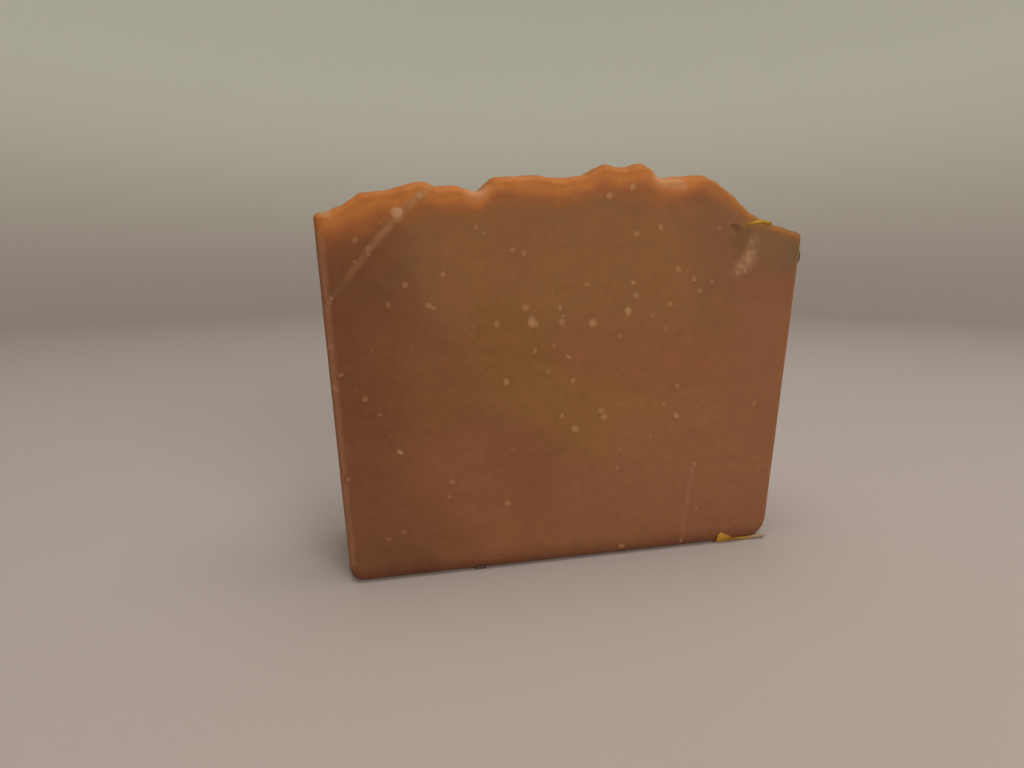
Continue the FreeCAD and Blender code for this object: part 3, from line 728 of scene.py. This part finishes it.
def petal_relief(graph):
    """Fine veins that run along the petal."""
    veins = graph.cloud(0.22, 2.0, (14, 1, 1))
    return graph.bump(0.035 * veins + 0.015 * graph.cloud(0.12))


def petal_colour(stops):
    """A petal's colour from end to end, with darker veins and dry spots."""
    def tint(graph):
        along = graph.named("along") + 0.16 * graph.cloud(0.9, 2.0) - 0.08
        base = graph.node("ShaderNodeValToRGB", {"stops": stops}, {"Fac": along}, "Color")
        veins = graph.step(graph.cloud(0.25, 2.0, (12, 1, 1)), 0.42, 0.72)
        look = bpy.context.scene.soap_plants
        return graph.mix(0.35 * veins, base, look.ochre[:])
    return tint


def leaf_colour(base):
    def tint(graph):
        paler = tuple(min(1.0, part * 1.9) for part in base[:3]) + (1.0,)
        return graph.mix(graph.step(graph.cloud(0.6, 3.0), 0.35, 0.75), base, paler)
    return tint


def dried_piece(node, material, shape, droop=0.0):
    """Stands for a CAD node: a fine even mesh, moved by shape, its far end lowered by the droop."""
    look = bpy.context.scene.soap_plants
    piece, _ = even_copy(node + "_dried", node, look.cell)
    mesh = piece.data
    rows, normals = read(mesh, "co") / MM, read(mesh, "normal")
    low, high = rows.min(axis=0), rows.max(axis=0)
    along = (rows[:, 0] - low[0]) / (high[0] - low[0])
    rows += normals * shape(rows, along)[:, None]
    rows[:, 2] = np.maximum(rows[:, 2] - droop * smooth(along, 0.5, 1.0), 0)
    write_places(mesh, rows)
    write_numbers(mesh, "along", along)
    mesh.materials.clear()
    mesh.materials.append(material)
    mesh.shade_smooth()
    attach(piece, BODY)
    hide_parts(node)
    return piece


def petal_veins(rows, along):
    vein = bpy.context.scene.soap_plants.vein / MM
    wave = np.sin((rows[:, 1] + rows[:, 2]) * 9.0 + 0.8 * ripple(rows, 2.0, 11))
    return vein * wave + 0.05 * ripple(rows, 0.9, 12)


def upper_petal_swell(rows, along):
    """Veins on a petal that is swollen by the soap's damp."""
    return UPPER_PETAL_SWELL + petal_veins(rows, along)


def lower_petal_lobes(rows, along):
    """Veins, and the crease between the two lobes of the broad end."""
    crease = 1.25 - 0.5 * along * 2.4
    groove = np.exp(-(((rows[:, 2] - crease) / 0.16) ** 2)) * (1 - smooth(along, 0.3, 0.5))
    return petal_veins(rows, along) - 0.12 * groove


def fleck_wrinkles(rows, along):
    return 0.09 * ripple(rows, 0.7, 13)


class SOAP_OT_petals(bpy.types.Operator):
    """Makes the two dried petals"""

    bl_idname = "soap.petals"
    bl_label = "Dried petals"

    def execute(self, context):
        look = context.scene.soap_plants
        # The upper petal starts with the painted shadow of the slit at its end.
        upper = ((0.0, look.slit_shadow), (0.22, look.ochre), (0.5, look.yellow), (0.75, look.yellow), (1.0, look.ochre))
        lower = ((0.0, look.yellow), (0.35, look.ochre), (0.55, look.yellow), (0.8, look.straw), (1.0, look.straw))
        for node, stops, shape, droop in (
            ("upper_petal", upper, upper_petal_swell, UPPER_PETAL_DROOP),
            ("lower_petal", lower, lower_petal_lobes, 0.0),
        ):
            plain = [(place_on, tuple(tint)) for place_on, tint in stops]
            material = finish(node, petal_colour(plain), plant_roughness, petal_relief, IOR=1.4)
            dried_piece(node, material, shape, droop)
        return {"FINISHED"}


class SOAP_OT_flecks(bpy.types.Operator):
    """Makes the leaf and stalk flecks"""

    bl_idname = "soap.flecks"
    bl_label = "Leaf and stalk flecks"

    def execute(self, context):
        look = context.scene.soap_plants
        for node, slot, tint in (("leaf_fleck", "leaf", look.leaf), ("stalk_fleck", "stalk", look.stalk)):
            material = finish(slot, leaf_colour(tint[:]), plant_roughness, petal_relief, IOR=1.4)
            dried_piece(node, material, fleck_wrinkles)
        return {"FINISHED"}


def bowl_mesh(flat, bend, height, turns=96, arc=16):
    """A round floor whose rim bends up into a wall."""
    profile = [(0.0, 0.0)]
    profile += [
        (flat + bend * math.sin(step / arc * math.pi / 2), bend * (1 - math.cos(step / arc * math.pi / 2)))
        for step in range(arc + 1)
    ]
    profile.append((flat + bend, height))
    work = bmesh.new()
    line = [work.verts.new((radius, 0, z)) for radius, z in profile]
    edges = [work.edges.new(pair) for pair in zip(line, line[1:])]
    bmesh.ops.spin(
        work, geom=line + edges, cent=(0, 0, 0), axis=(0, 0, 1), angle=2 * math.pi, steps=turns, use_merge=True
    )
    bmesh.ops.remove_doubles(work, verts=work.verts, dist=1e-5)
    bmesh.ops.recalc_face_normals(work, faces=work.faces)
    mesh = bpy.data.meshes.new("floor")
    work.to_mesh(mesh)
    work.free()
    mesh.shade_smooth()
    return mesh


def lamp(name, place_at, aim, watts, width, tint):
    data = bpy.data.lights.new(name, "AREA")
    data.energy = watts
    data.size = width
    data.color = tint[:3]
    made = bpy.data.objects.new(name, data)
    made.location = place_at
    made.rotation_euler = (Vector(aim) - Vector(place_at)).to_track_quat("-Z", "Y").to_euler()
    made.visible_camera = False
    bpy.context.scene.collection.objects.link(made)
    return made


class SOAP_OT_stage(bpy.types.Operator):
    """Sets the floor, the lamps and the camera"""

    bl_idname = "soap.stage"
    bl_label = "Stage"

    def execute(self, context):
        look = context.scene.soap_stage
        scene = context.scene
        floor = place("floor", bowl_mesh(0.64, 0.3, 1.6))

        def floor_colour(graph):
            height = graph.node(
                "ShaderNodeSeparateXYZ", {}, {0: graph.node("ShaderNodeTexCoord", output="Object")}, "Z"
            )
            return graph.mix(graph.step(height, 0.0, 0.35), look.floor[:], look.wall[:])

        floor.data.materials.append(finish("floor", floor_colour, lambda graph: 0.8 + 0.05 * graph.cloud(3.0)))
        lamp("above", (0.05, -0.05, 0.75), (0, 0, 0.03), look.above, 0.6, (1.0, 0.98, 0.94))
        lamp("front", (0.272, -0.672, 0.24), (0, 0, 0.03), look.front, 0.36, (1.0, 0.97, 0.93))
        world = scene.world or bpy.data.worlds.new("studio")
        scene.world = world
        world.use_nodes = True
        sky = world.node_tree.nodes["Background"]
        sky.inputs["Color"].default_value = (1.0, 0.98, 0.95, 1.0)
        sky.inputs["Strength"].default_value = look.sky
        scene.view_settings.view_transform = "Standard"
        set_camera(scene)
        return {"FINISHED"}


# The camera of the picture: its place in metres, how far it looks down and to the right in degrees.
CAMERA_PLACE = (-0.03278, -0.10749, 0.05606)
CAMERA_DOWN = 11.784
CAMERA_RIGHT = 12.020
CAMERA_ROLL = -0.1
CAMERA_LENS = 19.69


def set_camera(scene):
    data = bpy.data.cameras.new("camera")
    data.type = "PERSP"
    data.lens = CAMERA_LENS
    data.sensor_width = 36
    data.clip_start = 0.005
    camera = bpy.data.objects.new("camera", data)
    turn = Matrix.Rotation(math.radians(-CAMERA_RIGHT), 4, "Z")
    tip = Matrix.Rotation(math.radians(90 - CAMERA_DOWN), 4, "X")
    roll = Matrix.Rotation(math.radians(CAMERA_ROLL), 4, "Z")
    camera.matrix_world = Matrix.Translation(CAMERA_PLACE) @ turn @ tip @ roll
    scene.collection.objects.link(camera)
    scene.camera = camera


class SOAP_PT_look(bpy.types.Panel):
    """Lists the pieces of the soap bar"""

    bl_label = "Soap bar"
    bl_idname = "SOAP_PT_look"
    bl_space_type = "VIEW_3D"
    bl_region_type = "UI"
    bl_category = "Soap"

    def draw(self, context):
        for operator, group in zip(OPERATORS, ("soap_bar", "soap_specks", "soap_plants", None, "soap_stage")):
            box = self.layout.box()
            box.operator(operator.bl_idname)
            settings = getattr(context.scene, group) if group else None
            for name in settings.__annotations__ if settings else ():
                box.prop(settings, name)


OPERATORS = (SOAP_OT_bar, SOAP_OT_specks, SOAP_OT_petals, SOAP_OT_flecks, SOAP_OT_stage)
GROUPS = {"soap_bar": BarLook, "soap_specks": SpeckLook, "soap_plants": PlantLook, "soap_stage": StageLook}


def register():
    for made in (*GROUPS.values(), *OPERATORS, SOAP_PT_look):
        bpy.utils.register_class(made)
    for name, group in GROUPS.items():
        setattr(bpy.types.Scene, name, bpy.props.PointerProperty(type=group))


def unregister():
    for name in GROUPS:
        delattr(bpy.types.Scene, name)
    for made in (SOAP_PT_look, *reversed(OPERATORS), *reversed(GROUPS.values())):
        bpy.utils.unregister_class(made)


def main():
    register()
    bpy.ops.soap.bar()
    bpy.ops.soap.specks()
    bpy.ops.soap.petals()
    bpy.ops.soap.flecks()
    bpy.ops.soap.stage()


if __name__ == "__main__":
    main()
